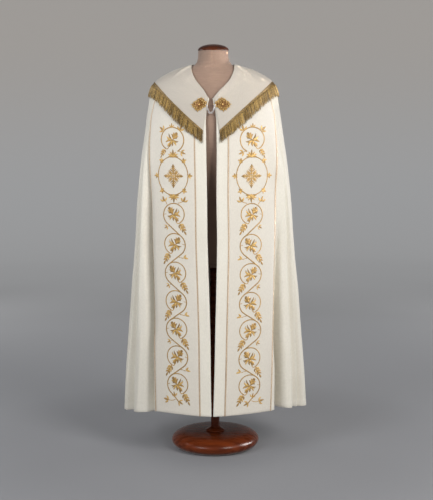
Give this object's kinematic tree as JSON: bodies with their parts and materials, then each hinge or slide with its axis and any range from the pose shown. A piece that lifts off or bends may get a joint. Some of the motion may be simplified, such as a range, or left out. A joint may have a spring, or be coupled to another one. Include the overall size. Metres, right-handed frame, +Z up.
{
  "type": "cope vestment on a limbless dress form",
  "caption": "Floor-length liturgical cloak with embroidered front bands, a fringed collar and a chained clasp, worn open by a limbless dress form on a round wooden base.",
  "frame": {"origin": "middle of the wooden base's flat underside, on the form's own axis", "axes": "+Z up, -Y out of the garment's front opening, +X to the right of someone who faces the front"},
  "size_m": [0.7903, 0.5802, 1.7363],
  "materials": {
    "cope_fabric": "cream wool blend, soft twill",
    "orphrey_fabric": "ivory satin with embroidery",
    "gold_braid": "narrow old-gold metallic braid",
    "gold_fringe": "old-gold bullion fringe",
    "clasp_metal": "dark gilt filigree",
    "chain_metal": "bright silver",
    "form_linen": "beige linen over the form",
    "dark_wood": "glossy dark mahogany"
  },
  "bodies": {
    "root": {"base": "dark_wood", "pole": "dark_wood", "torso": "form_linen", "neck_cap": "dark_wood", "mantle_front_left": "cope_fabric", "mantle_front_right": "cope_fabric", "mantle_back": "cope_fabric", "orphrey_left": "orphrey_fabric", "orphrey_right": "orphrey_fabric", "braid_inner_left": "gold_braid", "braid_inner_right": "gold_braid", "braid_outer_left": "gold_braid", "braid_outer_right": "gold_braid", "collar": "cope_fabric", "fringe_left": "gold_fringe", "fringe_right": "gold_fringe", "clasp_plate_left": "clasp_metal", "clasp_plate_right": "clasp_metal", "chain_link_1": "chain_metal", "chain_link_2": "chain_metal", "chain_link_3": "chain_metal", "chain_link_4": "chain_metal", "chain_link_5": "chain_metal", "chain_link_6": "chain_metal", "chain_link_7": "chain_metal", "chain_link_8": "chain_metal", "chain_link_9": "chain_metal", "chain_link_10": "chain_metal", "chain_link_11": "chain_metal"}
  },
  "joints": []
}
